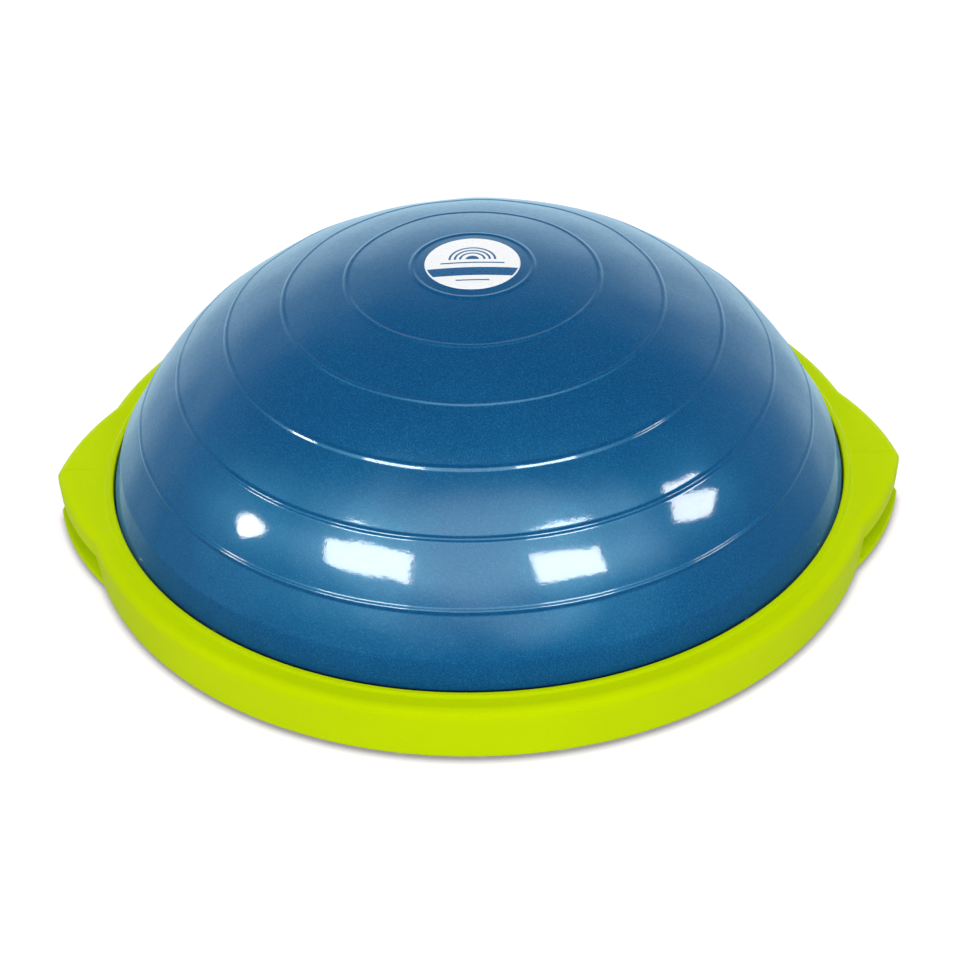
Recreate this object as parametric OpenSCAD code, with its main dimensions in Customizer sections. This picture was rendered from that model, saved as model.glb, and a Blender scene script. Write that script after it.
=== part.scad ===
// Balance dome trainer: an inflated half-ball clamped into a round platform with two wing grips.
// The floor is z = 0 and the dome's axis is the z axis. The wings point along +X and -X.

/* [Dome] */
// Half width of the ellipse that the dome's outside follows
dome_r = 252; // [248:0.5:254]
// Height of the top of the dome above the floor
dome_h = 200; // [180:1:220]
// Thickness of the inflatable skin
skin_t = 3; // [2.5:0.5:3.5]
// Radius of the first moulded ring, the one around the label
ring_first_r = 40; // [36:1:44]
// Distance between moulded rings, measured along the skin
ring_pitch = 45; // [43:0.5:45.5]
// Number of moulded rings
ring_count = 6; // [3:1:6]
// Width of one moulded ring
bead_w = 5; // [4:0.2:6]
// Height of one moulded ring above the skin
bead_h = 0.55; // [0.3:0.05:0.8]
// How far the skin swells between two rings
band_bulge = 0.5; // [0:0.1:1]
// How far the skin swells off the ellipse where it leans on the lip
lip_swell = 2.4; // [2:0.1:2.6]
// Radius of the round label on top
label_r = 31.5; // [26:0.5:34]
// Thickness of the label
label_t = 0.7; // [0.4:0.1:1]

/* [Rim] */
// Radius of the opening that the dome comes out of
lip_r = 250; // [250:0.5:251]
// Width of the raised lip around the opening
lip_w = 4; // [3:0.5:5]
// Height of the raised lip above the rim's top face
lip_step = 1.5; // [1:0.1:2]
// Height of the lip above the floor
rim_top = 42; // [41:0.5:43]
// Widest radius of the round rim
rim_r = 269; // [268:0.5:270]
// Radius of the rim's bottom edge
rim_foot_r = 266.5; // [266:0.5:267]
// Radius of the rounded shoulder
shoulder_r = 6.5; // [5:0.5:8]
// Wall thickness of the rim moulding
rim_t = 3; // [2.5:0.5:3]

/* [Wing grips] */
// Distance from the axis to the tip of a wing
wing_tip = 290; // [286:1:294]
// Radius of each of the two arcs that outline a wing
wing_arc_r = 205; // [200:1:210]
// How far the centre of each arc lies beyond the wing's centre line
wing_arc_y = 38.5; // [36:0.5:41]
// Height of the lower lip of the finger slot
grip_low = 7; // [6.5:0.5:8]
// Height of the upper edge of the finger slot
grip_top = 22; // [20:1:23]

/* [Platform base] */
// Radius of the base inside the rim's skirt
base_r = 263; // [262.5:0.5:263]
// Thickness of the base's bottom skin
base_t = 3; // [2.5:0.5:3.5]
// Height of the top of the base's ribs, where the deck lies
deck_z = 22; // [20:1:22]
// Thickness of the deck that carries the dome
deck_t = 3; // [2.5:0.5:3]
// Number of radial ribs
rib_count = 24; // [24:24:48]
// Thickness of a rib
rib_t = 2.4; // [2:0.2:3]

/* [Fasteners and feet] */
// Number of screws into the clamp ring, and of screws into the rim
ring_screws = 16; // [8:8:16]
// Radius of the circle that those screws stand on
screw_circle_r = 256.5; // [256:0.5:257]
// Number of screws that hold the deck
deck_screw_count = 8; // [4:4:8]
// Number of rubber feet
foot_count = 8; // [8:1:8]
// Radius of the circle that the feet stand on
foot_circle_r = 222; // [215:1:225]
// Radius of one foot
foot_r = 15; // [12:0.5:16]

/* [Valve] */
// Distance from the axis to the valve
valve_y = 150; // [148:1:152]
// Radius of the valve's bore
valve_bore_r = 5.5; // [5:0.1:6]
// Radial clearance of the plug in the bore
plug_fit = 0.05; // [0.02:0.01:0.09]

/* [Hidden] */

$fn = 180;
eps = 0.01;
cut = 1;

blue = "#1C6296";
lime = "#BFD908";
charcoal = "#2A2C2E";
steel = "#B8BCC0";
white = "#F2F4F5";

// The rim's own levels and the space that it leaves
rim_z0 = 3;
rim_deck_z = rim_top - lip_step;
lip_round = 1.2;
skirt_round = 1.5;
seam_gap = 0.25;
arc_steps = 8;

// The bladder's edge: skin, bead and diaphragm meet inside the rim
neck_r = 249.2;
weld_z = 34;
bead_foot_r = 238.5;
bead_edge_r = 262;
bead_fillet = 1.2;
bead_z1 = deck_z + deck_t;
diaphragm_t = 3;
band_steps = 5;
skin_steps = 24;
label_gap = 0.05;

// The clamp ring and what the screws pass through
clamp_r0 = 250.6;
clamp_t = 5;
clamp_z1 = bead_z1 + clamp_t;
rim_wall_z0 = clamp_z1 + 0.2;

// Screws: one size everywhere
screw_r = 2;
screw_hole_r = 2.05;
head_r = 4;
head_h = 3;
well_r = 4.6;
boss_r = 5.5;
rim_boss_r = 4.2;
head_z0 = 5;
well_z1 = head_z0 + head_h;
clamp_screw_z1 = 29;
rim_screw_z1 = 36;
rim_pilot_z1 = 36.5;
deck_screw_circle_r = 150;
deck_screw_z0 = 11;
deck_boss_r = 4.5;
drive_r = 1.6;
drive_h = 1.6;

// The base
base_z0 = 3.4;
base_z1 = base_z0 + base_t;
hub_r = 40;
wall_rings = [hub_r, 60, 120, 180, 238.5, 249, 259.8];
wall_ring_t = 2.7;
tongue_inset = 0.2;
tongue_round = 1;

// The valve stands on the -Y side
well_hole_r = 13;
well_bore_r = 18;
well_wall = 3;
deck_hole_r = 15;
collar_r = 9;
collar_flange_r = 20;
collar_flange_t = 2;
collar_flare_r = 12;
collar_z0 = 8;
collar_flare_h = 2.5;
collar_z1 = bead_z1 + diaphragm_t + collar_flange_t;
plug_head_r = 10.5;
plug_z0 = 4.6;
plug_tip_z = 26;
plug_tip_round = 1.5;
pry_slot_w = 2.4;
pry_slot_d = 1.2;

// The feet
foot_neck_r = 4;
foot_hole_r = 4.1;
foot_barb_r = 5.4;
foot_barb_top_r = 3.2;
foot_barb_h = 4.6;
foot_round = 1.2;

// ---- Curves ----

function arc(centre, r, a0, a1, steps) =
    [for (i = [0:steps]) let (a = a0 + (a1 - a0) * i / steps) centre + r * [cos(a), sin(a)]];

function flat(lists) = [for (list = lists) for (p = list) p];

// A point of the dome's section: t is the ellipse's angle from the top, out the distance off the skin
function skin_point(t, out) =
    let (n = [dome_h * sin(t), dome_r * cos(t)])
    [dome_r * sin(t), dome_h * cos(t)] + out * n / norm(n);

// Millimetres along the skin for one degree of t
function pace(t) = norm([dome_r * cos(t), dome_h * sin(t)]) * PI / 180;

function next_ring_t(t) = t + ring_pitch / pace(t + ring_pitch / pace(t) / 2);

function ring_t(k) = k == 0 ? asin(ring_first_r / dome_r) : next_ring_t(ring_t(k - 1));

function ring_points(k) =
    let (t = ring_t(k), half = bead_w / 2 / pace(ring_t(k)))
    [for (u = [-1:0.5:1]) skin_point(t + u * half, bead_h * pow(cos(90 * u), 2))];

function band_points(t0, t1, bulge) =
    [for (i = [1:band_steps - 1])
        let (f = i / band_steps) skin_point(t0 + (t1 - t0) * f, bulge * sin(180 * f))];

// Distance of the outside from the ellipse below the last ring, rising to lip_swell at the neck
function swell(t, t0, t1) =
    let (f = max(0, (t - t0) / (t1 - t0)))
    lip_swell * f * f * (3 - 2 * f);

function ring_angle(i) = 360 * i / ring_screws;

function deck_screw_angle(i) = 360 * (i + 0.5) / deck_screw_count;

function foot_angle(i) = 360 * (i - 0.5) / foot_count;

// ---- Shared solids ----

// What lies inside both outline arcs of the wing on the +X side
module wing_core(points) {
    arc_x = wing_tip - sqrt(wing_arc_r * wing_arc_r - wing_arc_y * wing_arc_y);
    intersection() {
        translate([arc_x, -wing_arc_y, 0]) rotate_extrude() polygon(points);
        translate([arc_x, wing_arc_y, 0]) rotate_extrude() polygon(points);
        translate([0, -rim_r, 0]) cube([2 * rim_r, 2 * rim_r, 2 * rim_top]);
    }
}

module both_wings() {
    children();
    mirror([1, 0, 0]) children();
}

// The lower lip of a finger slot, grown by gap where it is cut out of the rim
module tongue(gap) {
    r = wing_arc_r - tongue_inset + gap;
    top = grip_low + gap;
    low = gap > 0 ? rim_z0 - cut : rim_z0;
    difference() {
        wing_core(concat(
            [[0, low]],
            arc([r - tongue_round, low + tongue_round], tongue_round, -90, 0, 3),
            arc([r - tongue_round, top - tongue_round], tongue_round, 0, 90, 3),
            [[0, top]]));
        translate([0, 0, low - cut]) cylinder(r = base_r - 2, h = top + 2 * cut);
    }
}

// ---- Inflatable dome ----

module dome_skin() {
    t_last = ring_t(ring_count - 1);
    t_neck = asin((neck_r - lip_swell) / dome_r);
    below = bead_w / pace(t_last);
    outside = concat(
        [skin_point(0, 0)],
        band_points(0, ring_t(0), 0),
        flat([for (k = [0:ring_count - 2])
            concat(ring_points(k), band_points(ring_t(k), ring_t(k + 1), band_bulge))]),
        ring_points(ring_count - 1),
        [for (i = [0:skin_steps])
            let (t = t_last + below + (t_neck - t_last - below) * i / skin_steps)
            skin_point(t, swell(t, t_last, t_neck))],
        [[neck_r, weld_z]]);
    inside = concat(
        [[neck_r - skin_t, weld_z]],
        [for (i = [0:skin_steps])
            let (t = (t_neck - 1) * (1 - i / skin_steps))
            skin_point(t, swell(t, t_last, t_neck) - skin_t)]);
    color(blue) rotate_extrude() polygon(concat(outside, inside));
}

module bladder_bead() {
    color(blue) difference() {
        rotate_extrude() polygon(concat(
            [[neck_r - skin_t, weld_z], [neck_r - skin_t, bead_z1], [bead_foot_r, bead_z1],
             [bead_foot_r, deck_z], [bead_edge_r, deck_z], [bead_edge_r, bead_z1]],
            arc([neck_r + bead_fillet, bead_z1 + bead_fillet], bead_fillet, 270, 180, arc_steps),
            [[neck_r, weld_z]]));
        for (i = [0:2 * ring_screws - 1])
            rotate(ring_angle(i) / 2) translate([screw_circle_r, 0, deck_z - cut])
                cylinder(r = screw_hole_r, h = deck_t + 2 * cut, $fn = 32);
    }
}

module dome_diaphragm() {
    color(blue) difference() {
        translate([0, 0, bead_z1]) cylinder(r = neck_r - skin_t - 0.1, h = diaphragm_t);
        translate([0, -valve_y, bead_z1 - cut])
            cylinder(r = collar_r + 0.1, h = diaphragm_t + 2 * cut, $fn = 64);
    }
}

module top_label() {
    steps = band_steps * 2;
    t_edge = asin(label_r / dome_r);
    color(white) rotate_extrude() polygon(concat(
        [for (i = [0:steps]) skin_point(t_edge * i / steps, label_gap + label_t)],
        [for (i = [steps:-1:0]) skin_point(t_edge * i / steps, label_gap)]));
}

// ---- Valve ----

module valve_collar() {
    color(charcoal) translate([0, -valve_y, 0]) rotate_extrude($fn = 96) polygon([
        [valve_bore_r, collar_z0],
        [collar_flare_r, collar_z0],
        [collar_flare_r, collar_z0 + collar_flare_h],
        [collar_r, collar_z0 + collar_flare_h + collar_flare_r - collar_r],
        [collar_r, bead_z1 + diaphragm_t],
        [collar_flange_r, bead_z1 + diaphragm_t],
        [collar_flange_r, collar_z1 - 1],
        [collar_flange_r - 1, collar_z1],
        [valve_bore_r, collar_z1]]);
}

module valve_plug() {
    shank_r = valve_bore_r - plug_fit;
    color(white) translate([0, -valve_y, 0]) difference() {
        rotate_extrude($fn = 96) polygon(concat(
            [[0, plug_z0]],
            arc([plug_head_r - 1, plug_z0 + 1], 1, -90, 0, 4),
            [[plug_head_r, collar_z0 - 0.1], [shank_r, collar_z0 - 0.1]],
            arc([shank_r - plug_tip_round, plug_tip_z - plug_tip_round], plug_tip_round, 0, 90, 4),
            [[0, plug_tip_z]]));
        translate([-pry_slot_w / 2, -plug_head_r - cut, plug_z0 - cut])
            cube([pry_slot_w, 2 * plug_head_r + 2 * cut, pry_slot_d + cut]);
    }
}

// ---- Rim moulding ----

module rim_outside() {
    rotate_extrude() polygon(concat(
        [[lip_r, rim_z0]],
        arc([lip_r + lip_round, rim_top - lip_round], lip_round, 180, 90, 4),
        arc([lip_r + lip_w - lip_round, rim_top - lip_round], lip_round, 90, 0, 4),
        [[lip_r + lip_w, rim_deck_z]],
        arc([rim_r - shoulder_r, rim_deck_z - shoulder_r], shoulder_r, 90, 0, arc_steps),
        arc([rim_foot_r - skirt_round, rim_z0 + skirt_round], skirt_round, 0, -90, 4)));
}

// The hollow of the rim's section, open below
module rim_cavity() {
    inner_round = shoulder_r - rim_t;
    rotate_extrude() polygon(concat(
        [[lip_r - cut, rim_z0 - cut], [rim_foot_r - rim_t, rim_z0 - cut], [rim_foot_r - rim_t, rim_z0]],
        arc([rim_r - shoulder_r, rim_deck_z - shoulder_r], inner_round, 0, 90, arc_steps),
        [[lip_r + rim_t, rim_deck_z - rim_t], [lip_r + rim_t, rim_wall_z0],
         [lip_r - cut, rim_wall_z0]]));
}

module wing_deck() {
    difference() {
        wing_core(concat(
            [[0, grip_top]],
            [[wing_arc_r, grip_top]],
            arc([wing_arc_r - shoulder_r, rim_deck_z - shoulder_r], shoulder_r, 0, 90, arc_steps),
            [[0, rim_deck_z]]));
        cylinder(r = lip_r + lip_w, h = rim_top + cut);
    }
}

// The hollow under a wing's deck, where the fingers hook in
module wing_cavity() {
    inner_round = shoulder_r - rim_t;
    difference() {
        wing_core(concat(
            [[0, grip_top - cut]],
            [[wing_arc_r - rim_t, grip_top - cut]],
            arc([wing_arc_r - shoulder_r, rim_deck_z - shoulder_r], inner_round, 0, 90, arc_steps),
            [[0, rim_deck_z - rim_t]]));
        cylinder(r = rim_r, h = rim_top + cut);
    }
}

module platform_rim() {
    boss_h = rim_deck_z - rim_t - rim_wall_z0 + 0.5;
    color(lime) difference() {
        union() {
            difference() {
                union() {
                    rim_outside();
                    both_wings() wing_deck();
                }
                rim_cavity();
                both_wings() wing_cavity();
                both_wings() tongue(seam_gap);
            }
            for (i = [0:ring_screws - 1])
                rotate(ring_angle(i)) translate([screw_circle_r, 0, rim_wall_z0])
                    cylinder(r = rim_boss_r, h = boss_h, $fn = 48);
        }
        for (i = [0:ring_screws - 1])
            rotate(ring_angle(i)) translate([screw_circle_r, 0, rim_wall_z0 - cut])
                cylinder(r = screw_hole_r, h = rim_pilot_z1 - rim_wall_z0 + cut, $fn = 32);
    }
}

// ---- Base moulding ----

// Everything that stands on the base's bottom skin, seen from above
module base_walls() {
    for (r = wall_rings)
        difference() {
            circle(r = r + wall_ring_t);
            circle(r = r);
        }
    for (i = [0:rib_count - 1])
        rotate(360 * i / rib_count) translate([hub_r + wall_ring_t / 2, -rib_t / 2])
            square([max(wall_rings) - hub_r, rib_t]);
    for (i = [0:2 * ring_screws - 1])
        rotate(ring_angle(i) / 2) translate([screw_circle_r, 0]) circle(r = boss_r, $fn = 48);
    for (i = [0:deck_screw_count - 1])
        rotate(deck_screw_angle(i)) translate([deck_screw_circle_r, 0])
            circle(r = deck_boss_r, $fn = 48);
    translate([0, -valve_y]) circle(r = well_bore_r + well_wall, $fn = 96);
}

module platform_base() {
    color(lime) difference() {
        union() {
            translate([0, 0, base_z0]) cylinder(r = base_r, h = base_t);
            both_wings() tongue(0);
            translate([0, 0, base_z1 - eps]) linear_extrude(deck_z - base_z1 + eps) base_walls();
        }
        for (i = [0:2 * ring_screws - 1])
            rotate(ring_angle(i) / 2) translate([screw_circle_r, 0, base_z0 - cut]) {
                cylinder(r = well_r, h = well_z1 - base_z0 + cut, $fn = 48);
                cylinder(r = screw_hole_r, h = deck_z, $fn = 32);
            }
        for (i = [0:deck_screw_count - 1])
            rotate(deck_screw_angle(i)) translate([deck_screw_circle_r, 0, deck_screw_z0 - cut])
                cylinder(r = screw_hole_r, h = deck_z, $fn = 32);
        for (i = [1:foot_count])
            rotate(foot_angle(i)) translate([foot_circle_r, 0, base_z0 - cut])
                cylinder(r = foot_hole_r, h = base_t + 2 * cut, $fn = 48);
        translate([0, -valve_y, base_z0 - cut]) cylinder(r = well_hole_r, h = deck_z, $fn = 96);
        translate([0, -valve_y, base_z1]) cylinder(r = well_bore_r, h = deck_z, $fn = 96);
    }
}

module support_deck() {
    sink = head_r - screw_hole_r;
    color(charcoal) difference() {
        translate([0, 0, deck_z]) cylinder(r = bead_foot_r - 1, h = deck_t);
        translate([0, -valve_y, deck_z - cut]) cylinder(r = deck_hole_r, h = deck_t + 2 * cut, $fn = 96);
        for (i = [0:deck_screw_count - 1])
            rotate(deck_screw_angle(i)) translate([deck_screw_circle_r, 0, deck_z])
                rotate_extrude($fn = 48) polygon([
                    [0, -cut], [screw_hole_r, -cut], [screw_hole_r, deck_t - sink],
                    [head_r + 0.1, deck_t + 0.1], [0, deck_t + 0.1]]);
    }
}

module clamp_ring() {
    color(charcoal) difference() {
        translate([0, 0, bead_z1]) cylinder(r = bead_edge_r, h = clamp_t);
        translate([0, 0, bead_z1 - cut]) cylinder(r = clamp_r0, h = clamp_t + 2 * cut);
        for (i = [0:2 * ring_screws - 1])
            rotate(ring_angle(i) / 2) translate([screw_circle_r, 0, bead_z1 - cut])
                cylinder(r = screw_hole_r, h = clamp_t + 2 * cut, $fn = 32);
    }
}

// ---- Fasteners ----

// A pan-head screw that points up, with its head in a well of the base
module ring_screw(z1) {
    difference() {
        rotate_extrude($fn = 32) polygon(concat(
            [[0, head_z0]],
            arc([head_r - 1, head_z0 + 1], 1, -90, 0, 3),
            [[head_r, well_z1], [screw_r, well_z1], [screw_r, z1 - 1.5], [0, z1]]));
        translate([0, 0, head_z0 - cut]) cylinder(r = drive_r, h = drive_h + cut, $fn = 6);
    }
}

module clamp_screws() {
    color(steel) for (i = [0:ring_screws - 1])
        rotate(ring_angle(i + 0.5)) translate([screw_circle_r, 0, 0]) ring_screw(clamp_screw_z1);
}

module rim_screws() {
    color(steel) for (i = [0:ring_screws - 1])
        rotate(ring_angle(i)) translate([screw_circle_r, 0, 0]) ring_screw(rim_screw_z1);
}

module deck_screws() {
    top = deck_z + deck_t;
    color(steel) for (i = [0:deck_screw_count - 1])
        rotate(deck_screw_angle(i)) translate([deck_screw_circle_r, 0, 0]) difference() {
            rotate_extrude($fn = 32) polygon([
                [0, deck_screw_z0], [screw_r, deck_screw_z0 + 1.5], [screw_r, top - head_r + screw_r],
                [head_r - 0.1, top - 0.1], [0, top - 0.1]]);
            translate([0, 0, top - drive_h]) cylinder(r = drive_r, h = drive_h + cut, $fn = 6);
        }
}

// ---- Feet ----

module foot(i) {
    barb_z = base_z1 + 0.05;
    color(charcoal) rotate(foot_angle(i)) translate([foot_circle_r, 0, 0])
        rotate_extrude($fn = 64) polygon(concat(
            [[0, 0]],
            arc([foot_r - foot_round, foot_round], foot_round, -90, 0, 4),
            [[foot_r, base_z0 - 0.05], [foot_neck_r, base_z0 - 0.05], [foot_neck_r, barb_z],
             [foot_barb_r, barb_z], [foot_barb_top_r, barb_z + foot_barb_h],
             [0, barb_z + foot_barb_h]]));
}

dome_skin();
bladder_bead();
dome_diaphragm();
top_label();
valve_collar();
valve_plug();
platform_rim();
platform_base();
support_deck();
clamp_ring();
clamp_screws();
rim_screws();
deck_screws();
for (i = [1:foot_count])
    foot(i);
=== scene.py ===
"""Looks of the balance dome trainer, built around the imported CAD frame. All lengths are in metres."""

import math

import bmesh
import bpy
import numpy as np
from mathutils import Matrix, Vector, noise


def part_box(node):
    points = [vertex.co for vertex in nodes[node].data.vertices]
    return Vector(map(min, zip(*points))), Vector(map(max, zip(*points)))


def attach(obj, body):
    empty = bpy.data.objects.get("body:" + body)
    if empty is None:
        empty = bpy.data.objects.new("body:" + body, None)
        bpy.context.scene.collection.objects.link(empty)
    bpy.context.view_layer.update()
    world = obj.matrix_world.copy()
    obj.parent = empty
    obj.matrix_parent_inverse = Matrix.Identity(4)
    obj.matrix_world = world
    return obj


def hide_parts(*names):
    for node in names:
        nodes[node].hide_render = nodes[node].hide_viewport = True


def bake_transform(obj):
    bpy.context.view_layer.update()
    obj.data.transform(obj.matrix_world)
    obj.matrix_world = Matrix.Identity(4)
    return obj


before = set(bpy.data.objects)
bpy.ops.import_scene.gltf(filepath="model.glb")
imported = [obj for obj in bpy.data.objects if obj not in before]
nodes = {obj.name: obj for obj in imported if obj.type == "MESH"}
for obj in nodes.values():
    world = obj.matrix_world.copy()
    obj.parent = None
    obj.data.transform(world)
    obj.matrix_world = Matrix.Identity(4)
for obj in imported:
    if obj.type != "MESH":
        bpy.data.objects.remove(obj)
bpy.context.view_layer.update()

MM = 0.001
RAMP_SOCKETS = ("From Min", "From Max", "To Min", "To Max")

# ---- Sizes read from the frame ----

skin_low, skin_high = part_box("dome_skin")
rim_low, rim_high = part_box("platform_rim")
label_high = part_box("top_label")[1]

DOME_H = skin_high.z
WELD_Z = skin_low.z
RIM_TOP = rim_high.z
RIM_Z0 = rim_low.z
RIM_R = rim_high.y
WING_TIP = rim_high.x
LABEL_R = label_high.x

# ---- Sizes of the design that no box gives ----

DOME_R = 252 * MM
NECK_R = 248.6 * MM
LIP_SWELL = 1.8 * MM
SKIN_T = 3 * MM
RING_COUNT = 6
RING_FIRST_R = 40 * MM
RING_PITCH = 45 * MM
BEAD_W = 5 * MM
BEAD_H = 0.68 * MM
CREASE_AT = 0.62
CREASE_H = 1.6 * MM
CREASE_W = 6 * MM
CREASE_SOFT = 1.4 * MM
BAND_BULGE = 0.45 * MM

LIP_R = 250 * MM
LIP_W = 4 * MM
LIP_STEP = 1.5 * MM
DECK_Z = RIM_TOP - LIP_STEP
SHOULDER_R = 6.5 * MM
RIM_T = 3 * MM
RIM_FOOT_R = 266.5 * MM
MOULD_LINE_H = 0.16 * MM
MOULD_LINE_W = 0.28 * MM
DECK_DIP = 0.8 * MM
DECK_DIP_W = 6 * MM
INNER_WALL_Z = 30.2 * MM
GRIP_TOP = 22 * MM
TONGUE_TOP = 7 * MM
SEAM = 0.25 * MM
WALL_ROWS = (30.0 * MM, 26.0 * MM)
WING_ARC_R = 205 * MM
WING_ARC_Y = 38.5 * MM
TONGUE_INSET = 0.2 * MM


# ---- Small helpers ----

def smooth(t):
    """0 below 0, 1 above 1, and an S-curve between."""
    t = np.clip(t, 0.0, 1.0)
    return t * t * (3 - 2 * t)


def arc(cx, cz, r, a0, a1, steps):
    """Points of an arc in a section, as (radius, height), angles in degrees."""
    angles = [math.radians(a0 + (a1 - a0) * i / steps) for i in range(steps + 1)]
    return [(cx + r * math.cos(a), cz + r * math.sin(a)) for a in angles]


def mesh_object(name, verts, faces):
    mesh = bpy.data.meshes.new(name)
    mesh.from_pydata([tuple(v) for v in verts], [], [tuple(f) for f in faces])
    mesh.update()
    obj = bpy.data.objects.new(name, mesh)
    bpy.context.scene.collection.objects.link(obj)
    return obj


def clean(obj, merge=1e-6, sharp_degrees=40.0):
    """Joins points that lie on each other, points the faces outwards and shades smooth up to an angle."""
    bm = bmesh.new()
    bm.from_mesh(obj.data)
    bmesh.ops.remove_doubles(bm, verts=bm.verts, dist=merge)
    bmesh.ops.dissolve_degenerate(bm, edges=bm.edges, dist=merge)
    bmesh.ops.recalc_face_normals(bm, faces=bm.faces)
    limit = math.radians(sharp_degrees)
    for edge in bm.edges:
        edge.smooth = len(edge.link_faces) == 2 and edge.calc_face_angle(math.pi) < limit
    for face in bm.faces:
        face.smooth = True
    bm.to_mesh(obj.data)
    bm.free()


def loft(name, rows, top=None, bottom=None):
    """A closed skin over rows of points that go round the axis.

    With top and bottom, the first and last rows close at points of those heights on the axis. Without
    them, the last row joins the first."""
    count, per = len(rows), len(rows[0])
    verts = [tuple(p) for row in rows for p in row]
    faces = []
    for i in range(count - 1 if top is not None else count):
        a, b = i * per, (i + 1) % count * per
        faces += [(a + j, a + (j + 1) % per, b + (j + 1) % per, b + j) for j in range(per)]
    if top is not None:
        for first, height in ((0, top), ((count - 1) * per, bottom)):
            faces += [(first + j, first + (j + 1) % per, len(verts)) for j in range(per)]
            verts.append((0.0, 0.0, height))
    return mesh_object(name, verts, faces)


# ---- Materials ----

class Shader:
    """A material under construction: the Principled shader and short calls that add nodes to it."""

    def __init__(self, name, **values):
        self.material = bpy.data.materials.new(name)
        self.material.use_nodes = True
        self.tree = self.material.node_tree
        self.bsdf = self.tree.nodes["Principled BSDF"]
        for key, value in values.items():
            self.bsdf.inputs[key.replace("_", " ")].default_value = value
        self.coords = self.tree.nodes.new("ShaderNodeTexCoord").outputs["Object"]

    def put(self, kind, **values):
        node = self.tree.nodes.new(kind)
        for key, value in values.items():
            setattr(node, key, value)
        return node

    def link(self, a, b):
        self.tree.links.new(a, b)

    def noise(self, scale, detail=2.0, roughness=0.5):
        node = self.put("ShaderNodeTexNoise")
        node.inputs["Scale"].default_value = scale
        node.inputs["Detail"].default_value = detail
        node.inputs["Roughness"].default_value = roughness
        self.link(self.coords, node.inputs["Vector"])
        return node.outputs["Fac"]

    def cells(self, scale):
        node = self.put("ShaderNodeTexVoronoi", feature="SMOOTH_F1")
        node.inputs["Scale"].default_value = scale
        self.link(self.coords, node.inputs["Vector"])
        return node.outputs["Distance"]

    def ramp(self, value, low, high, to_low, to_high):
        node = self.put("ShaderNodeMapRange")
        for key, number in zip(RAMP_SOCKETS, (low, high, to_low, to_high)):
            node.inputs[key].default_value = number
        self.link(value, node.inputs["Value"])
        return node.outputs["Result"]

    def math(self, operation, a, b=None):
        node = self.put("ShaderNodeMath", operation=operation)
        for socket, value in zip(node.inputs, (a, b)):
            if isinstance(value, (int, float)):
                socket.default_value = value
            elif value is not None:
                self.link(value, socket)
        return node.outputs[0]

    def mix(self, factor, a, b):
        node = self.put("ShaderNodeMix", data_type="RGBA")
        self.link(factor, node.inputs[0])
        for socket, value in ((node.inputs[6], a), (node.inputs[7], b)):
            if isinstance(value, tuple):
                socket.default_value = (*value, 1.0)
            else:
                self.link(value, socket)
        return node.outputs[2]

    def bump(self, height, distance, strength=1.0, under=None):
        node = self.put("ShaderNodeBump")
        node.inputs["Distance"].default_value = distance
        node.inputs["Strength"].default_value = strength
        self.link(height, node.inputs["Height"])
        if under is not None:
            self.link(under, node.inputs["Normal"])
        return node.outputs["Normal"]

    def finish(self, colour=None, roughness=None, normal=None, coat_normal=None):
        for socket, value in (("Base Color", colour), ("Roughness", roughness),
                              ("Normal", normal), ("Coat Normal", coat_normal)):
            if value is not None:
                self.link(value, self.bsdf.inputs[socket])
        return self.material


def blue_vinyl(name, gap_z=None):
    """Flexible vinyl with a pearl sheen: a fine sparkle, a pebbled grain and a thin glossy skin.

    Below the height gap_z the skin lies in the narrow gap beside the lip, and its colour is darkened
    there: painted shade of the gap."""
    s = Shader(name, Roughness=0.42, IOR=1.45, Specular_IOR_Level=0.5,
               Specular_Tint=(0.13, 0.79, 1.0, 1.0),
               Sheen_Weight=0.40, Sheen_Roughness=0.45, Sheen_Tint=(0.17, 0.62, 0.88, 1.0),
               Coat_Weight=0.85, Coat_Roughness=0.07, Coat_IOR=1.45)
    sparkle = s.noise(980, 1.0, 0.6)
    drift = s.noise(9, 2.0, 0.5)
    deep = s.mix(s.ramp(drift, 0.35, 0.65, 0.0, 1.0), (0.0014, 0.066, 0.206), (0.0020, 0.074, 0.222))
    lit = s.mix(s.ramp(sparkle, 0.52, 0.74, 0.0, 0.65), deep, (0.014, 0.150, 0.350))
    colour = s.mix(s.ramp(sparkle, 0.28, 0.48, 0.7, 0.0), lit, (0.0010, 0.042, 0.145))
    if gap_z is not None:
        # painted shade: below gap_z the skin's colour goes nearly black, standing in for the shadow
        # inside the gap beside the lip
        split = s.put("ShaderNodeSeparateXYZ")
        s.link(s.coords, split.inputs[0])
        painted_gap_shade = s.ramp(split.outputs["Z"], gap_z - 1.0 * MM, gap_z, 1.0, 0.0)
        colour = s.mix(painted_gap_shade, colour, (0.0008, 0.0030, 0.0060))
    grain = s.bump(s.noise(700, 2.0, 0.55), 0.06 * MM)
    pebble = s.bump(s.cells(420), 0.05 * MM, 0.6, grain)
    coat = s.bump(s.noise(420, 2.0, 0.6), 0.03 * MM)
    rough = s.ramp(s.noise(240, 2.0), 0.3, 0.7, 0.37, 0.47)
    return s.finish(colour, rough, pebble, coat)


def lime_plastic(name, grain_scale, grain_depth, roughness):
    """Moulded plastic with a spark-eroded satin surface and a faint mottle."""
    s = Shader(name, Roughness=roughness, IOR=1.46, Specular_IOR_Level=0.03,
               Specular_Tint=(0.80, 1.0, 0.05, 1.0))
    mottle = s.ramp(s.noise(14, 3.0, 0.55), 0.3, 0.7, 0.0, 1.0)
    tone = s.mix(mottle, (0.505, 0.680, 0.0002), (0.530, 0.710, 0.0003))
    colour = s.mix(s.ramp(s.noise(900, 1.0), 0.3, 0.5, 0.10, 0.0), tone, (0.395, 0.565, 0.0003))
    fine = s.bump(s.noise(grain_scale, 2.0, 0.6), grain_depth)
    rough = s.ramp(s.noise(130, 3.0), 0.3, 0.7, roughness - 0.04, roughness + 0.05)
    return s.finish(colour, rough, fine)


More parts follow.
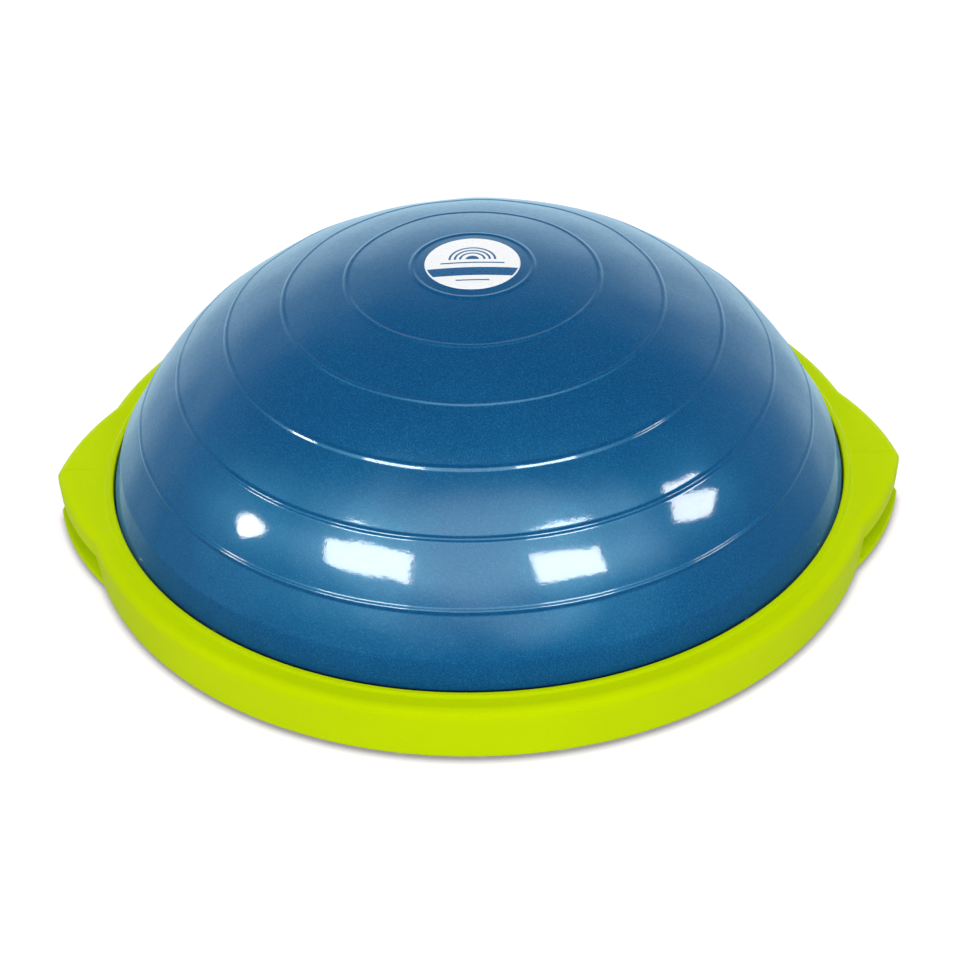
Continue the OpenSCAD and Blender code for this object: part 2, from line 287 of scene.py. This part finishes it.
def dark_plastic(name, colour, roughness):
    s = Shader(name, Roughness=roughness)
    tone = s.mix(s.ramp(s.noise(60, 3.0), 0.3, 0.7, 0.0, 1.0), colour, tuple(c * 1.35 for c in colour))
    rough = s.ramp(s.noise(220, 2.0), 0.3, 0.7, roughness - 0.06, roughness + 0.06)
    return s.finish(tone, rough, s.bump(s.noise(900, 2.0), 0.05 * MM))


def black_rubber(name):
    """Matt rubber, greyer where it has rubbed, with a fine grain."""
    s = Shader(name, Roughness=0.75, Specular_IOR_Level=0.35)
    rubbed = s.ramp(s.noise(90, 4.0, 0.6), 0.45, 0.75, 0.0, 1.0)
    tone = s.mix(rubbed, (0.022, 0.022, 0.023), (0.048, 0.047, 0.046))
    rough = s.ramp(s.noise(300, 2.0), 0.3, 0.7, 0.68, 0.84)
    return s.finish(tone, rough, s.bump(s.noise(1200, 2.0), 0.08 * MM))


def white_plastic():
    s = Shader("white_plastic", Roughness=0.28, Specular_IOR_Level=0.5)
    tone = s.mix(s.ramp(s.noise(120, 2.0), 0.3, 0.7, 0.0, 1.0), (0.78, 0.79, 0.78), (0.84, 0.85, 0.84))
    rough = s.ramp(s.noise(300, 2.0), 0.3, 0.7, 0.24, 0.33)
    return s.finish(tone, rough, s.bump(s.noise(500, 1.0), 0.02 * MM))


def zinc_steel():
    """Zinc plating: bright, faintly blue and yellow, with fine turning marks."""
    s = Shader("zinc_steel", Metallic=1.0, Roughness=0.3)
    tone = s.mix(s.ramp(s.noise(260, 3.0), 0.3, 0.7, 0.0, 1.0), (0.62, 0.63, 0.66), (0.72, 0.70, 0.62))
    rough = s.ramp(s.noise(900, 2.0), 0.3, 0.7, 0.22, 0.40)
    return s.finish(tone, rough, s.bump(s.noise(1500, 2.0), 0.02 * MM))


def printed_label():
    """White film with a plain blue band, and three arcs round a core over a line, with a short rule."""
    ink = (0.010, 0.105, 0.260)
    arcs_y, arcs_r, arc_t = 2.5 * MM, (8.0, 11.5, 15.0), 0.75 * MM
    band_y, band_half = -12.0 * MM, 4.7 * MM
    s = Shader("label_print", Roughness=0.3, Specular_IOR_Level=0.5)
    split = s.put("ShaderNodeSeparateXYZ")
    s.link(s.coords, split.inputs[0])
    x, y = split.outputs["X"], split.outputs["Y"]

    def inside(value, centre, half):
        return s.math("LESS_THAN", s.math("ABSOLUTE", s.math("SUBTRACT", value, centre)), half)

    above = s.math("GREATER_THAN", y, arcs_y)
    dy = s.math("SUBTRACT", y, arcs_y)
    radius = s.math("SQRT", s.math("ADD", s.math("MULTIPLY", x, x), s.math("MULTIPLY", dy, dy)))
    print_mask = inside(y, band_y, band_half)
    for r in arcs_r:
        half_ring = s.math("MULTIPLY", above, inside(radius, r * MM, arc_t))
        print_mask = s.math("MAXIMUM", print_mask, half_ring)
    core = s.math("MULTIPLY", above, s.math("LESS_THAN", radius, 4.4 * MM))
    line = s.math("MULTIPLY", inside(y, -1.6 * MM, 0.7 * MM), inside(x, 0.0, 21 * MM))
    rule = s.math("MULTIPLY", inside(y, -22.0 * MM, 0.6 * MM), inside(x, 0.0, 11 * MM))
    for mask in (core, line, rule):
        print_mask = s.math("MAXIMUM", print_mask, mask)
    from_centre = s.math("SQRT", s.math("ADD", s.math("MULTIPLY", x, x), s.math("MULTIPLY", y, y)))
    rim = s.math("LESS_THAN", from_centre, LABEL_R - 0.9 * MM)
    fibre = s.ramp(s.noise(160, 2.0), 0.3, 0.7, 0.0, 1.0)
    paper = s.mix(fibre, (0.93, 0.94, 0.945), (0.96, 0.965, 0.965))
    worn = s.mix(s.ramp(s.noise(700, 2.0), 0.35, 0.7, 0.0, 1.0), ink, tuple(c * 1.25 for c in ink))
    colour = s.mix(s.math("MULTIPLY", print_mask, rim), paper, worn)
    rough = s.ramp(s.noise(420, 2.0), 0.3, 0.7, 0.26, 0.36)
    return s.finish(colour, rough, s.bump(s.noise(600, 2.0), 0.02 * MM))


def paper_white_floor():
    """A plain white studio floor with a painted contact shadow: its colour and glow darken in the last
    millimetres beside what stands on it.

    It glows a little, and more far from the lamps, so that it stays evenly white up to the horizon."""
    painted_shadow_reach, lamps_end, all_glow = 6 * MM, 1.2, 3.5
    s = Shader("studio_floor", Roughness=0.9, Specular_IOR_Level=0.0, Emission_Strength=0.66)
    paper = s.mix(s.ramp(s.noise(3, 2.0), 0.3, 0.7, 0.0, 1.0), (0.44, 0.44, 0.44), (0.46, 0.46, 0.46))
    # painted contact shadow: ambient occlusion within a few millimetres darkens both the floor's colour
    # and its glow
    open_sky = s.put("ShaderNodeAmbientOcclusion", samples=6)
    open_sky.inputs["Distance"].default_value = painted_shadow_reach
    share = s.ramp(open_sky.outputs["AO"], 0.45, 0.92, 0.0, 1.0)
    distance = s.put("ShaderNodeVectorMath", operation="LENGTH")
    s.link(s.coords, distance.inputs[0])
    far = s.ramp(distance.outputs["Value"], lamps_end, all_glow, 0.0, 1.0)
    glow = s.mix(far, (1.0, 0.93, 1.02), (1.7, 1.7, 1.7))
    s.link(s.mix(share, (0.27, 0.255, 0.285), glow), s.bsdf.inputs["Emission Color"])
    return s.finish(s.mix(share, (0.19, 0.18, 0.19), paper))


def paint(obj, material):
    obj.data.materials.clear()
    obj.data.materials.append(material)


# ---- The dome ----

def skin_point(t, out):
    """A point of the dome's section and its outward side: t is the ellipse's angle from the top."""
    nx, nz = DOME_H * math.sin(t), DOME_R * math.cos(t)
    size = math.hypot(nx, nz)
    return DOME_R * math.sin(t) + out * nx / size, DOME_H * math.cos(t) + out * nz / size


def pace(t):
    """Metres along the skin for one radian of t."""
    return math.hypot(DOME_R * math.cos(t), DOME_H * math.sin(t))


def ring_places():
    t = math.asin(RING_FIRST_R / DOME_R)
    places = [t]
    while len(places) < RING_COUNT:
        t += RING_PITCH / pace(t + RING_PITCH / pace(t) / 2)
        places.append(t)
    return places


def relief(s):
    """Height of a moulded ring at the distance s from its middle: a low round bead."""
    u = min(abs(s) / (BEAD_W / 2), 1.0)
    return BEAD_H * math.cos(u * math.pi / 2) ** 2


def swell(t, t0, t1):
    """How far the skin stands off the ellipse below the last ring, where it leans on the lip."""
    return LIP_SWELL * float(smooth((t - t0) / (t1 - t0)))


def dome_section():
    """(t, out, crease) of each row from the top to the neck, closer together at the rings and the crease.

    out is the relief that is even all round the dome, and crease the crease's greatest height."""
    rings = ring_places()
    neck_t = math.asin((NECK_R - LIP_SWELL) / DOME_R)
    crease_t = rings[-1] + (neck_t - rings[-1]) * CREASE_AT
    half = [0.12, 0.25, 0.4, 0.55, 0.7, 0.85, 1.0, 1.25]
    near = [-n for n in reversed(half)] + [0.0] + half
    stops = [i / 10 * rings[0] * 0.9 for i in range(1, 10)]
    for k, t in enumerate(rings):
        stops += [t + n * BEAD_W / 2 / pace(t) for n in near]
        after = rings[k + 1] if k + 1 < len(rings) else neck_t
        stops += [t + (after - t) * f for f in (0.12, 0.2, 0.3, 0.4, 0.5, 0.6, 0.7, 0.8, 0.88)]
    at_crease = (-0.9, -0.6, -0.4, -0.2, -0.1, 0.0, 0.1, 0.2, 0.4, 0.6, 0.9)
    stops += [crease_t + n * CREASE_W / pace(crease_t) for n in at_crease]
    section = []
    for t in sorted(x for x in stops if x < neck_t):
        out = swell(t, rings[-1], neck_t)
        for a, b in zip(rings[:-1], rings[1:]):
            if a < t < b:
                out += BAND_BULGE * math.sin(math.pi * (t - a) / (b - a))
        out += sum(relief((t - r) * pace(r)) for r in rings if abs((t - r) * pace(r)) < BEAD_W)
        away = math.hypot((t - crease_t) * pace(t), CREASE_SOFT)
        crease = CREASE_H * math.exp(-away / CREASE_W)
        section.append((t, out, crease))
    return section, neck_t


def undulation(x, y, z):
    """The skin's slow waves: inflated vinyl is never a perfect ellipsoid."""
    slow = noise.noise(Vector((x * 11, y * 11, z * 14 + 3.7)))
    quick = noise.noise(Vector((x * 27 + 5.1, y * 27, z * 30)))
    fine = noise.noise(Vector((x * 70, y * 70 + 9.3, z * 75)))
    return 0.85 * MM * slow + 0.65 * MM * quick + 0.055 * MM * fine


def inflated_dome():
    around = 432
    section, neck_t = dome_section()
    turn = [2 * math.pi * j / around for j in range(around)]
    rows = []
    calm = math.asin(RING_FIRST_R / DOME_R)
    for t, out, crease in section:
        row = []
        for a in turn:
            r, z = skin_point(t, out)
            wave = undulation(r * math.cos(a), r * math.sin(a), z)
            wave *= float(smooth((t - calm * 0.8) / 0.25) * smooth((neck_t - t) / 0.14))
            fold = crease * (0.15 + 0.85 * math.cos(a) ** 2)
            r, z = skin_point(t, out + wave + fold)
            row.append((r * math.cos(a), r * math.sin(a), z))
        rows.append(row)
    last_t = ring_places()[-1]
    inside = [skin_point(neck_t, LIP_SWELL), (NECK_R, WELD_Z), (NECK_R - SKIN_T, WELD_Z)]
    for i in range(20):
        t = (neck_t - math.radians(1)) * (1 - i / 20)
        inside.append(skin_point(t, swell(t, last_t, neck_t) - SKIN_T))
    for r, z in inside:
        rows.append([(r * math.cos(a), r * math.sin(a), z) for a in turn])
    obj = loft("inflated_dome", rows, DOME_H, DOME_H - SKIN_T)
    clean(obj, sharp_degrees=60)
    paint(obj, blue_vinyl("blue_vinyl", gap_z=RIM_TOP + 0.2 * MM))
    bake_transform(obj)
    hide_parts("dome_skin")


def dome_label():
    """The printed film on top: a thin disc with a softened edge that follows the dome."""
    around, film, gap = 160, 0.6 * MM, 0.02 * MM
    edge = 0.5 * MM
    radii = [LABEL_R * i / 14 for i in range(1, 14)] + [LABEL_R - edge]
    profile = [(r, film) for r in radii]
    profile += [(LABEL_R - edge * (1 - math.sin(a)), film - edge * (1 - math.cos(a)))
                for a in (math.radians(30), math.radians(60), math.radians(90))]
    profile += [(LABEL_R, gap)] + [(r, gap) for r in reversed(radii)]
    rows = []
    for r, out in profile:
        x, z = skin_point(math.asin(min(r / DOME_R, 1.0)), out)
        rows.append([(r * math.cos(2 * math.pi * j / around), r * math.sin(2 * math.pi * j / around), z)
                     for j in range(around)])
    obj = loft("dome_label", rows, DOME_H + film, DOME_H + gap)
    clean(obj, sharp_degrees=60)
    paint(obj, printed_label())
    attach(obj, "dome")
    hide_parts("top_label")


# ---- The rim ----

def wing_reach(angle):
    """Distance from the axis to the wing's outline in the direction of angle."""
    across, along = abs(math.cos(angle)), abs(math.sin(angle))
    cx, cy = WING_TIP - math.sqrt(WING_ARC_R ** 2 - WING_ARC_Y ** 2), -WING_ARC_Y
    dot = across * cx + along * cy
    under = dot * dot - cx * cx - cy * cy + WING_ARC_R ** 2
    return dot + math.sqrt(under) if under > 0 else 0.0


def rim_angles():
    """Angles round the rim: even steps, and closer ones across the mould line on each wing."""
    steps = 960
    even = [2 * math.pi * (j + 0.5) / steps for j in range(steps)]
    fine = [offset * MM / WING_TIP for offset in (-0.9, -0.6, -0.35, -0.18, 0.0, 0.18, 0.35, 0.6, 0.9)]
    near_axis = 1.2 * MM / WING_TIP
    kept = [a for a in even if min(abs(math.remainder(a, math.pi)), 1.0) > near_axis]
    left = [f + math.pi for f in fine]
    right = fine[4:] + [2 * math.pi + f for f in fine[:4]]
    return np.array(sorted(kept + right + left))


def smoothed_outline(angles):
    """The outline's radius at each angle, with its corners eased by a moving average 3 mm wide."""
    half, taps = 1.6 * MM, 9
    offsets = np.linspace(-half, half, taps) / RIM_R
    weights = np.cos(np.linspace(-1, 1, taps) * math.pi / 2 * 0.9)
    weights /= weights.sum()
    radius = np.zeros(len(angles))
    for offset, weight in zip(offsets, weights):
        radius += weight * np.array([max(RIM_R, wing_reach(a + offset)) for a in angles])
    return radius


def rim_moulding():
    """The lime upper moulding in one closed skin: lip, cove, deck with wings, finger slots and skirt."""
    angles = rim_angles()
    cosines, sines = np.cos(angles), np.sin(angles)
    radius = smoothed_outline(angles)
    outline = np.stack([radius * cosines, radius * sines], 1)
    forward = np.roll(outline, -1, 0) - np.roll(outline, 1, 0)
    normal = np.stack([forward[:, 1], -forward[:, 0]], 1)
    normal /= np.linalg.norm(normal, axis=1)[:, None]
    shoulder_z = DECK_Z - SHOULDER_R
    depth = radius - RIM_R
    slot = smooth(depth / (2.5 * MM))
    tongue = np.array([wing_reach(a) for a in angles]) - TONGUE_INSET
    notch = smooth((tongue - RIM_FOOT_R - 0.8 * MM) / (0.6 * MM))

    def circle(r, z):
        return np.stack([r * cosines, r * sines, np.broadcast_to(z, len(angles))], 1)

    def offset(d, z):
        flat = outline - normal * np.asarray(d).reshape(-1, 1)
        return np.concatenate([flat, np.broadcast_to(z, len(angles)).reshape(-1, 1)], 1)

    def on_wall(z):
        """The skirt's outer face at the height z."""
        share = (shoulder_z - z) / (shoulder_z - RIM_Z0)
        return RIM_R + (RIM_FOOT_R - RIM_R) * share

    line = MOULD_LINE_H * np.exp(-(WING_TIP * np.sin(angles) / MOULD_LINE_W) ** 2)
    rows = []
    # lip: inner wall, rounded crest and the cove that runs out into the deck
    crest_in, crest_out, crest_run = 1.1 * MM, 0.7 * MM, 0.9 * MM
    for z in (INNER_WALL_Z, RIM_TOP - 3 * MM):
        rows.append(circle(LIP_R, z))
    for r, z in arc(LIP_R + crest_in, RIM_TOP - crest_in, crest_in, 180, 90, 5):
        rows.append(circle(r, z))
    for r, z in arc(LIP_R + LIP_W - crest_run, RIM_TOP - crest_out, crest_out, 90, 10, 4):
        rows.append(circle(r, z))
    cove_r = 1.6 * MM
    cove_end = LIP_R + LIP_W + 1.5 * MM
    for i, (r, z) in enumerate(arc(cove_end, DECK_Z + cove_r, cove_r, 218, 270, 5)):
        rows.append(circle(r, z - DECK_DIP * slot * i / 5))
    # deck: it dips a little beside the lip
    inner_edge = offset(SHOULDER_R, DECK_Z)
    start = circle(cove_end, DECK_Z)
    for f in (0.03, 0.1, 0.2, 0.35, 0.5, 0.65, 0.8, 0.92):
        row = start + (inner_edge - start) * f
        away = np.hypot(row[:, 0], row[:, 1]) - cove_end
        row[:, 2] = DECK_Z + line - DECK_DIP * np.exp(-(away / DECK_DIP_W) ** 2) * slot
        rows.append(row)
    # shoulder
    for i in range(13):
        a = math.radians(90 * i / 12)
        row = offset(SHOULDER_R * (1 - math.sin(a)), shoulder_z + SHOULDER_R * math.cos(a))
        row[:, 2] += line * math.cos(a)
        rows.append(row)
    # the wing's wall with the skirt's draft, its lower edge, and the hollow behind it, which closes
    # towards the ends of the wing, where the wall runs into the skirt
    edge = 0.8 * MM
    ceiling = DECK_Z - RIM_T
    open_up = smooth((depth - RIM_T - 0.6 * MM) / (4.0 * MM))
    facing = np.clip(normal[:, 0] * cosines + normal[:, 1] * sines, 0.2, 1.0)

    def wall(d, z):
        z = np.broadcast_to(z, len(angles))
        draft = np.clip(RIM_R - on_wall(z), 0.0, RIM_R)
        return offset(np.minimum(d, depth * facing) + draft, z)

    for z in (*WALL_ROWS, GRIP_TOP + edge):
        rows.append(wall(0.0, z))
    for a in (30, 60, 90):
        turn = math.radians(a)
        rows.append(wall(edge * (1 - math.cos(turn)), GRIP_TOP + edge * (1 - math.sin(turn))))
    for a in (0, 30, 60, 90):
        turn = math.radians(a)
        level = GRIP_TOP + edge * (1 - math.cos(turn)) * open_up
        rows.append(wall(RIM_T - edge * (1 - math.sin(turn)), level))
    for d, z in ((0.0, shoulder_z), (1.0 * MM, ceiling - 1.2 * MM), (3.4 * MM, ceiling)):
        rows.append(wall(RIM_T + d, GRIP_TOP + (z - GRIP_TOP) * open_up))
    for r, z in ((1.0 * MM, ceiling), (0.3 * MM, ceiling - 0.3 * MM), (0.0, ceiling - 1.0 * MM)):
        level = GRIP_TOP + (z - GRIP_TOP) * open_up
        rows.append(circle(on_wall(level) + r * open_up, level))
    # skirt
    foot_h, foot_w = 1.2 * MM, 1.0 * MM
    low = RIM_Z0 + (TONGUE_TOP + SEAM - RIM_Z0) * notch
    for z in (*WALL_ROWS, 23.0 * MM):
        level = GRIP_TOP + (z - GRIP_TOP) * open_up
        rows.append(circle(on_wall(level), level))
    for f in (0.0, 0.25, 0.5, 0.75):
        z = GRIP_TOP + (low + foot_h - GRIP_TOP) * f
        rows.append(circle(on_wall(z), z))
    foot_r = on_wall(low + foot_h)
    for a in (0, 30, 60, 90):
        turn = math.radians(a)
        rows.append(circle(foot_r - foot_w * (1 - math.cos(turn)), low + foot_h * (1 - math.sin(turn))))
    # inside
    rows.append(circle(foot_r - RIM_T, low))
    rows.append(circle(RIM_R - RIM_T, shoulder_z))
    rows.append(circle(RIM_R - RIM_T - 1.0 * MM, ceiling - 0.8 * MM))
    rows.append(circle(RIM_R - SHOULDER_R, ceiling))
    rows.append(circle(LIP_R + RIM_T, ceiling))
    rows.append(circle(LIP_R + RIM_T, INNER_WALL_Z))
    obj = loft("rim_moulding", rows)
    clean(obj, merge=2e-6, sharp_degrees=50)
    paint(obj, lime_plastic("lime_plastic", 950, 0.06 * MM, 0.40))
    obj.visible_glossy = False
    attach(obj, "platform")
    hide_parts("platform_rim")


# ---- CAD nodes that keep their shape ----

def dress_nodes():
    looks = {
        "platform_base": lime_plastic("lime_plastic_base", 420, 0.12 * MM, 0.46),
        "bladder_bead": blue_vinyl("blue_vinyl_weld"),
        "valve_plug": white_plastic(),
        "valve_collar": black_rubber("black_rubber"),
        "support_deck": dark_plastic("grey_plastic", (0.10, 0.11, 0.12), 0.5),
        "clamp_ring": dark_plastic("black_nylon", (0.02, 0.02, 0.022), 0.45),
    }
    looks["dome_diaphragm"] = looks["bladder_bead"]
    steel = zinc_steel()
    for name in ("clamp_screws", "rim_screws", "deck_screws"):
        looks[name] = steel
    rubber = black_rubber("foot_rubber")
    for name in nodes:
        if name.startswith("foot_"):
            looks[name] = rubber
    for name, material in looks.items():
        paint(nodes[name], material)


# ---- Floor, light and camera ----

def studio():
    reach = 9.0
    corners = [(-reach, -reach, 0), (reach, -reach, 0), (reach, reach, 0), (-reach, reach, 0)]
    floor = mesh_object("floor", corners, [(0, 1, 2, 3)])
    paint(floor, paper_white_floor())
    floor.visible_glossy = False
    world = bpy.data.worlds.new("studio")
    bpy.context.scene.world = world
    world.use_nodes = True
    tree = world.node_tree

    def ramp(value, low, high, to_low, to_high):
        node = tree.nodes.new("ShaderNodeMapRange")
        node.interpolation_type = "SMOOTHSTEP"
        for key, number in zip(RAMP_SOCKETS, (low, high, to_low, to_high)):
            node.inputs[key].default_value = number
        tree.links.new(value, node.inputs["Value"])
        return node.outputs["Result"]

    def combine(operation, a, b):
        node = tree.nodes.new("ShaderNodeMath")
        node.operation = operation
        tree.links.new(a, node.inputs[0])
        tree.links.new(b, node.inputs[1])
        return node.outputs[0]

    coords = tree.nodes.new("ShaderNodeTexCoord")
    split = tree.nodes.new("ShaderNodeSeparateXYZ")
    tree.links.new(coords.outputs["Generated"], split.inputs[0])
    y, z = split.outputs["Y"], split.outputs["Z"]
    # white low down behind the object, darker above and in front, and a soft glow in front at the lamps'
    # height; the camera itself sees plain white
    horizon = combine("MULTIPLY", ramp(z, 0.20, 0.80, 1.0, 0.03), ramp(y, 0.30, 1.15, 0.02, 1.0))
    glow = combine("MULTIPLY", ramp(z, 0.24, 0.62, 0.0, 1.0), ramp(z, 0.86, 1.03, 1.0, 0.0))
    glow = combine("MULTIPLY", glow, ramp(y, -0.75, -0.10, 3.2, 0.0))
    back = tree.nodes["Background"]
    seen = tree.nodes.new("ShaderNodeLightPath").outputs["Is Camera Ray"]
    tree.links.new(combine("MAXIMUM", combine("ADD", horizon, glow), seen), back.inputs["Strength"])
    tint = tree.nodes.new("ShaderNodeCombineColor")
    tree.links.new(combine("MAXIMUM", ramp(y, -0.10, 0.35, 1.0, 0.88), seen), tint.inputs["Red"])
    tint.inputs["Green"].default_value = 1.0
    tint.inputs["Blue"].default_value = 1.03
    tree.links.new(tint.outputs["Color"], back.inputs["Color"])


def soft_box(name, azimuth, elevation, distance, width, height, radiance, use,
             shape="RECTANGLE", roll=0.0):
    """An area light that faces the dome. Azimuth 0 is on the camera's side, positive to the right.

    use is "shine" for a lamp that only shows in reflections, and "fill" for one that never does."""
    light = bpy.data.lights.new(name, "AREA")
    light.shape = shape
    light.size, light.size_y = width, height
    light.energy = radiance * math.pi * width * height
    a, e = math.radians(azimuth), math.radians(elevation)
    place = distance * Vector((math.sin(a) * math.cos(e), -math.cos(a) * math.cos(e), math.sin(e)))
    obj = bpy.data.objects.new(name, light)
    obj.location = place
    aim = (Vector((0, 0, 0.05)) - place).to_track_quat("-Z", "Y").to_matrix()
    obj.rotation_euler = (aim @ Matrix.Rotation(math.radians(roll), 3, "Z")).to_euler()
    obj.visible_diffuse = use == "fill"
    obj.visible_glossy = use == "shine"
    bpy.context.scene.collection.objects.link(obj)


def lights():
    soft_box("box_front_left", -38, 36, 2.6, 0.98, 0.66, 26, "shine", roll=8)
    soft_box("box_front_right", 32, 37, 2.6, 0.98, 0.70, 26, "shine", roll=-8)
    soft_box("box_left", -80, 24, 2.6, 0.56, 0.58, 26, "shine", shape="ELLIPSE")
    soft_box("box_right", 80, 31, 2.6, 0.50, 0.34, 26, "shine", roll=-55)
    soft_box("fill_top", 0, 89, 3.0, 3.6, 3.6, 0.90, "fill")
    soft_box("fill_back", 180, 35, 3.0, 3.6, 1.6, 0.6, "fill")
    for side in (-1, 1):
        soft_box(f"fill_side_{side}", 147 * side, 9, 3.0, 2.4, 1.0, 4.0, "fill")


def camera():
    """The view: 36 degrees above the floor, half a degree round, with a long lens and a slight roll."""
    distance, elevation, azimuth, roll = 2.0277, 36.13, 0.5, -1.60
    e, a = math.radians(elevation), math.radians(azimuth)
    target = Vector((0.0010, 0, 0.0237))
    place = Vector((0.0010, 0, 0.003)) + distance * Vector(
        (math.cos(e) * math.sin(a), -math.cos(e) * math.cos(a), math.sin(e)))
    data = bpy.data.cameras.new("camera")
    data.lens, data.sensor_width = 109.3, 36.0
    obj = bpy.data.objects.new("camera", data)
    turn = (target - place).to_track_quat("-Z", "Y").to_matrix()
    turn = turn @ Matrix.Rotation(math.radians(roll), 3, "Z")
    obj.matrix_world = Matrix.Translation(place) @ turn.to_4x4()
    bpy.context.scene.collection.objects.link(obj)
    bpy.context.scene.camera = obj
    bpy.context.scene.view_settings.view_transform = "Standard"


camera()
studio()
lights()
inflated_dome()
dome_label()
rim_moulding()
dress_nodes()
